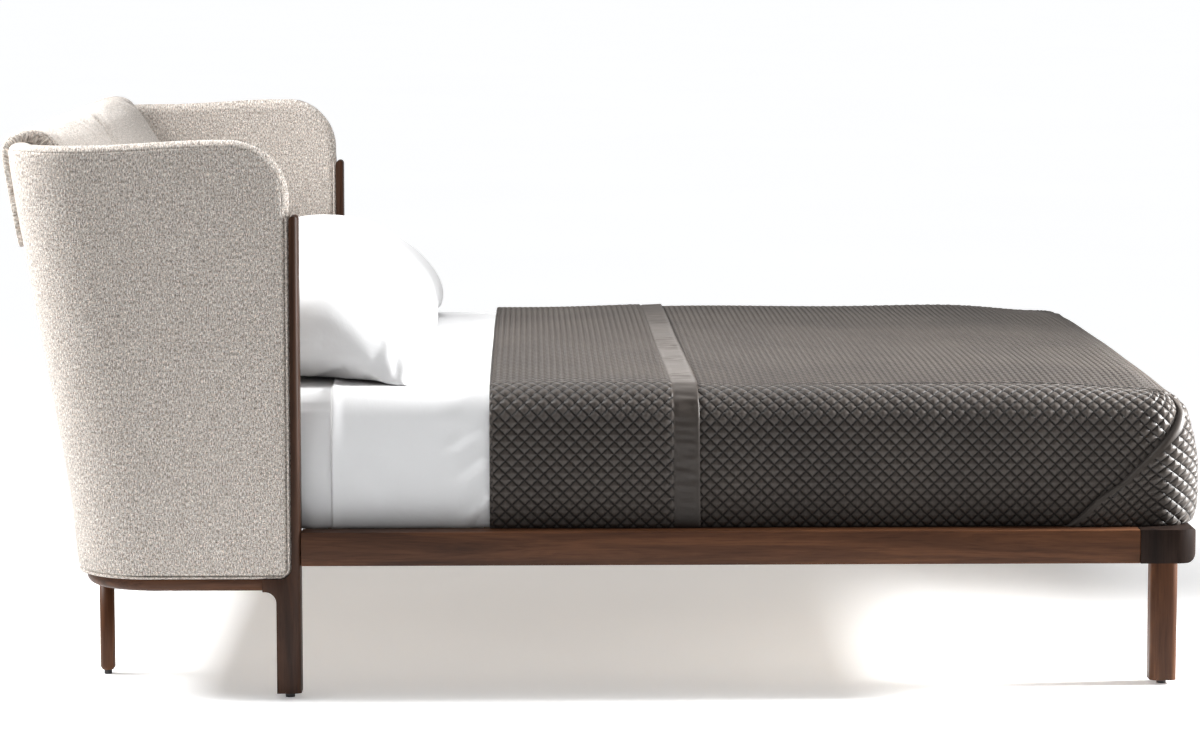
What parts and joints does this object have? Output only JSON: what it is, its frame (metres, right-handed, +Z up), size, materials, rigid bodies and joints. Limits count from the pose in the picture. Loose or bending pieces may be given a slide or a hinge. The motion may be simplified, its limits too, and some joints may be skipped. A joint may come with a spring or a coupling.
{
  "type": "wingback platform bed",
  "caption": "Low walnut platform bed with a leaning, winged upholstered headboard, drape-over headboard cushions, mattress, quilted coverlet and pillows.",
  "frame": {"origin": "centre of the bed's bounding box, on the floor", "axes": "+X towards the foot, +Y to the right for someone at the foot who faces the headboard, +Z up"},
  "size_m": [2.3378, 1.9302, 1.1002],
  "materials": {
    "walnut": "satin",
    "dark_walnut": "satin",
    "pine": "matte",
    "plywood": "matte",
    "oatmeal_weave": "matte",
    "mattress_ticking": "matte",
    "white_cotton": "matte",
    "taupe_quilt": "matte",
    "black_plastic": "matte"
  },
  "bodies": {
    "bed_frame": {"headboard_post_left": "walnut", "headboard_post_right": "walnut", "wing_base_rail_left": "walnut", "wing_base_rail_right": "walnut", "headboard_base_rail": "walnut", "rear_leg_left": "walnut", "rear_leg_right": "walnut", "side_rail_left": "walnut", "side_rail_right": "walnut", "foot_rail": "walnut", "foot_leg_left": "walnut", "foot_leg_right": "walnut", "foot_corner_left": "dark_walnut", "foot_corner_right": "dark_walnut", "head_cross_rail": "pine", "centre_beam": "pine", "slat_ledge_left": "pine", "slat_ledge_right": "pine", "slats": "pine", "wing_core_left": "plywood", "wing_core_right": "plywood", "headboard_core": "plywood", "wing_upholstery_left": "oatmeal_weave", "wing_upholstery_right": "oatmeal_weave", "headboard_upholstery": "oatmeal_weave", "outer_piping_left": "oatmeal_weave", "outer_piping_right": "oatmeal_weave", "inner_piping_left": "oatmeal_weave", "inner_piping_right": "oatmeal_weave", "post_glide_left": "black_plastic", "post_glide_right": "black_plastic", "rear_glide_left": "black_plastic", "rear_glide_right": "black_plastic", "foot_glide_left": "black_plastic", "foot_glide_right": "black_plastic"},
    "mattress_set": {"mattress": "mattress_ticking", "fitted_sheet": "white_cotton", "top_sheet": "white_cotton", "coverlet": "taupe_quilt"},
    "pillow_left": {"pillow_left": "white_cotton"},
    "pillow_right": {"pillow_right": "white_cotton"},
    "back_cushion_left": {"back_cushion_left": "oatmeal_weave"},
    "back_cushion_right": {"back_cushion_right": "oatmeal_weave"}
  },
  "joints": [
    {"name": "mattress_lift", "type": "slide", "parent": "bed_frame", "child": "mattress_set", "axis": [0, 0, 1], "range_m": [0, 0.8]},
    {"name": "pillow_left_lift", "type": "slide", "parent": "mattress_set", "child": "pillow_left", "axis": [0, 0, 1], "range_m": [0, 0.55]},
    {"name": "pillow_right_lift", "type": "slide", "parent": "mattress_set", "child": "pillow_right", "axis": [0, 0, 1], "range_m": [0, 0.55]},
    {"name": "back_cushion_left_lift", "type": "slide", "parent": "bed_frame", "child": "back_cushion_left", "axis": [-0.1711, 0, 0.9853], "range_m": [0, 0.55]},
    {"name": "back_cushion_right_lift", "type": "slide", "parent": "bed_frame", "child": "back_cushion_right", "axis": [-0.1711, 0, 0.9853], "range_m": [0, 0.55]}
  ]
}
